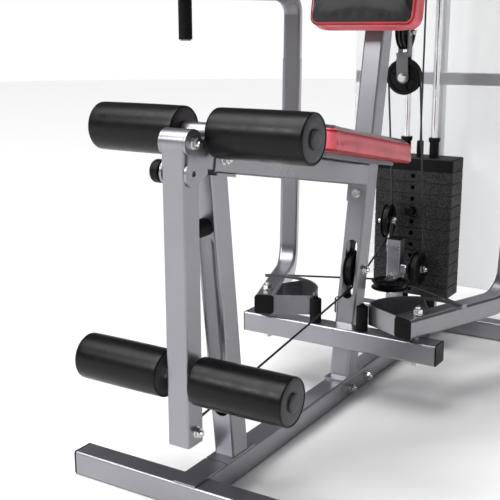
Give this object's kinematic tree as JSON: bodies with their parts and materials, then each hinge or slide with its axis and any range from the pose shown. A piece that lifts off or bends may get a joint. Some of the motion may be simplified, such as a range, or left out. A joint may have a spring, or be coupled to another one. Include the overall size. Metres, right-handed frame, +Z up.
{
  "type": "home gym",
  "caption": "Multi station home gym: leg developer with foam rollers, sloping seat and back pads, swinging press arms, cable pulleys and a pin-selected weight stack on a steel tube frame.",
  "frame": {"origin": "on the floor under the centre of the machine's bounding box", "axes": "+Z up; +Y from the leg station back to the weight stack; +X to the right seen from the front"},
  "size_m": [1.0164, 1.282, 1.9904],
  "materials": {
    "frame_paint": "satin metallic grey powder coat",
    "arm_paint": "satin metallic grey powder coat",
    "zinc": "bright zinc plate",
    "chrome": "polished",
    "black_vinyl": "soft satin vinyl",
    "red_vinyl": "satin vinyl, red sides and black top",
    "black_plastic": "fine grain",
    "pulley_plastic": "moulded nylon",
    "rubber": "matt",
    "cable_coat": "smooth nylon coat",
    "plate_iron": "speckled hammer paint",
    "head_iron": "satin black paint",
    "board": "black backed board",
    "black_steel": "satin black",
    "guard_sheet": "frosted clear sheet"
  },
  "bodies": {
    "frame": {"front_stabilizer": "frame_paint", "rear_stabilizer": "frame_paint", "front_rail": "frame_paint", "rear_rail": "frame_paint", "seat_post": "frame_paint", "seat_beam": "frame_paint", "leg_bracket": "frame_paint", "seat_board": "black_steel", "seat_cushion": "red_vinyl", "back_board": "board", "back_cushion": "red_vinyl", "mast": "frame_paint", "crossbar": "frame_paint", "top_boom": "frame_paint", "rear_upright": "frame_paint", "brace_bar": "frame_paint", "rear_guard": "guard_sheet", "pulley_column": "frame_paint", "pulley_blocks": "black_steel", "pulley_axles": "zinc", "guide_rods": "chrome", "stack_base": "frame_paint", "lower_plates": "plate_iron", "rubber_buffers": "rubber", "tube_caps": "black_plastic", "bolts": "zinc", "leg_cable_run": "cable_coat", "low_cables": "cable_coat", "lat_cable": "cable_coat"},
    "leg_developer": {"leg_developer_tube": "frame_paint", "lower_roller_axle": "zinc", "cable_eye_bolt": "zinc"},
    "lock_pin": {"lock_knob": "black_plastic"},
    "upper_left_roller": {"upper_left_roller": "black_vinyl"},
    "upper_right_roller": {"upper_right_roller": "black_vinyl"},
    "lower_left_roller": {"lower_left_roller": "black_vinyl"},
    "lower_right_roller": {"lower_right_roller": "black_vinyl"},
    "left_arm": {"left_press_arm": "arm_paint", "left_upper_arm": "arm_paint", "left_arm_pad": "black_vinyl", "left_arm_grips": "rubber"},
    "right_arm": {"right_press_arm": "arm_paint", "right_upper_arm": "arm_paint", "right_arm_pad": "black_vinyl", "right_arm_grips": "rubber"},
    "mast_pulley": {"mast_pulley": "pulley_plastic"},
    "low_left_pulley": {"low_left_pulley": "pulley_plastic"},
    "low_right_pulley": {"low_right_pulley": "pulley_plastic"},
    "floating_pulley": {"floating_pulley": "pulley_plastic"},
    "upper_floating_pulley": {"upper_floating_pulley": "pulley_plastic"},
    "yoke_pulley": {"yoke_pulley": "pulley_plastic"},
    "top_front_pulley": {"top_front_pulley": "pulley_plastic"},
    "top_middle_pulley": {"top_middle_pulley": "pulley_plastic"},
    "top_rear_pulley": {"top_rear_pulley": "pulley_plastic"},
    "stack_lift": {"lifted_plates": "plate_iron", "stack_head": "head_iron", "lat_cable_rear": "cable_coat"},
    "lat_pull": {"lat_bar": "chrome", "lat_cable_front": "cable_coat"},
    "selector": {"selector_pin": "black_plastic"}
  },
  "joints": [
    {"name": "leg_swing", "type": "hinge", "parent": "frame", "child": "leg_developer", "pos_m": [0, -0.598, 0.661], "axis": [-1, 0, 0], "range_deg": [0, 95]},
    {"name": "lock_pull", "type": "slide", "parent": "frame", "child": "lock_pin", "axis": [-1, 0, 0], "range_m": [0, 0.008], "stiffness_N_per_m": 400, "springref_m": -0.004},
    {"name": "upper_left_roller_turn", "type": "hinge", "parent": "frame", "child": "upper_left_roller", "pos_m": [0, -0.535, 0.673], "axis": [1, 0, 0], "continuous": true},
    {"name": "upper_right_roller_turn", "type": "hinge", "parent": "frame", "child": "upper_right_roller", "pos_m": [0, -0.535, 0.673], "axis": [1, 0, 0], "continuous": true},
    {"name": "lower_left_roller_turn", "type": "hinge", "parent": "leg_developer", "child": "lower_left_roller", "pos_m": [0, -0.598, 0.2506], "axis": [1, 0, 0], "continuous": true},
    {"name": "lower_right_roller_turn", "type": "hinge", "parent": "leg_developer", "child": "lower_right_roller", "pos_m": [0, -0.598, 0.2506], "axis": [1, 0, 0], "continuous": true},
    {"name": "left_arm_swing", "type": "hinge", "parent": "frame", "child": "left_arm", "pos_m": [-0.191, 0.005, 0.211], "axis": [0, 0, 1], "range_deg": [0, 100]},
    {"name": "right_arm_swing", "type": "hinge", "parent": "frame", "child": "right_arm", "pos_m": [0.191, 0.005, 0.211], "axis": [0, 0, -1], "range_deg": [0, 100]},
    {"name": "mast_pulley_turn", "type": "hinge", "parent": "frame", "child": "mast_pulley", "pos_m": [0, 0.081, 0.2955], "axis": [1, 0, 0], "continuous": true},
    {"name": "low_left_pulley_turn", "type": "hinge", "parent": "frame", "child": "low_left_pulley", "pos_m": [-0.0383, 0.36149, 0.35487], "axis": [-0.9913, -0.1305, -0.0167], "continuous": true},
    {"name": "low_right_pulley_turn", "type": "hinge", "parent": "frame", "child": "low_right_pulley", "pos_m": [0.04385, 0.37123, 0.23482], "axis": [1, 0.0006, 0.0035], "continuous": true},
    {"name": "floating_pulley_turn", "type": "hinge", "parent": "frame", "child": "floating_pulley", "pos_m": [-0.00002, 0.34306, 0.72649], "axis": [0, 0.9885, 0.1514], "continuous": true},
    {"name": "upper_floating_pulley_turn", "type": "hinge", "parent": "frame", "child": "upper_floating_pulley", "pos_m": [0, 0.341, 0.836], "axis": [1, 0, 0], "continuous": true},
    {"name": "yoke_pulley_turn", "type": "hinge", "parent": "frame", "child": "yoke_pulley", "pos_m": [0.044, 0.19, 0.2376], "axis": [0, 0, 1], "continuous": true},
    {"name": "top_front_pulley_turn", "type": "hinge", "parent": "frame", "child": "top_front_pulley", "pos_m": [0, -0.165, 1.946], "axis": [1, 0, 0], "continuous": true},
    {"name": "top_middle_pulley_turn", "type": "hinge", "parent": "frame", "child": "top_middle_pulley", "pos_m": [0, 0.257, 1.946], "axis": [1, 0, 0], "continuous": true},
    {"name": "top_rear_pulley_turn", "type": "hinge", "parent": "frame", "child": "top_rear_pulley", "pos_m": [0, 0.425, 1.946], "axis": [1, 0, 0], "continuous": true},
    {"name": "stack_lift_slide", "type": "slide", "parent": "frame", "child": "stack_lift", "axis": [0, 0, 1], "range_m": [0, 0.28], "deforming": ["lat_cable_rear"]},
    {"name": "lat_pull_slide", "type": "slide", "parent": "frame", "child": "lat_pull", "axis": [0, 0, -1], "range_m": [0, 0.28], "deforming": ["lat_cable_front"]},
    {"name": "selector_slide", "type": "slide", "parent": "stack_lift", "child": "selector", "axis": [0, -1, 0], "range_m": [0, 0.08]}
  ],
  "couplings": [
    {"joint": "lat_pull_slide", "follows": "stack_lift_slide", "ratio": 1}
  ]
}
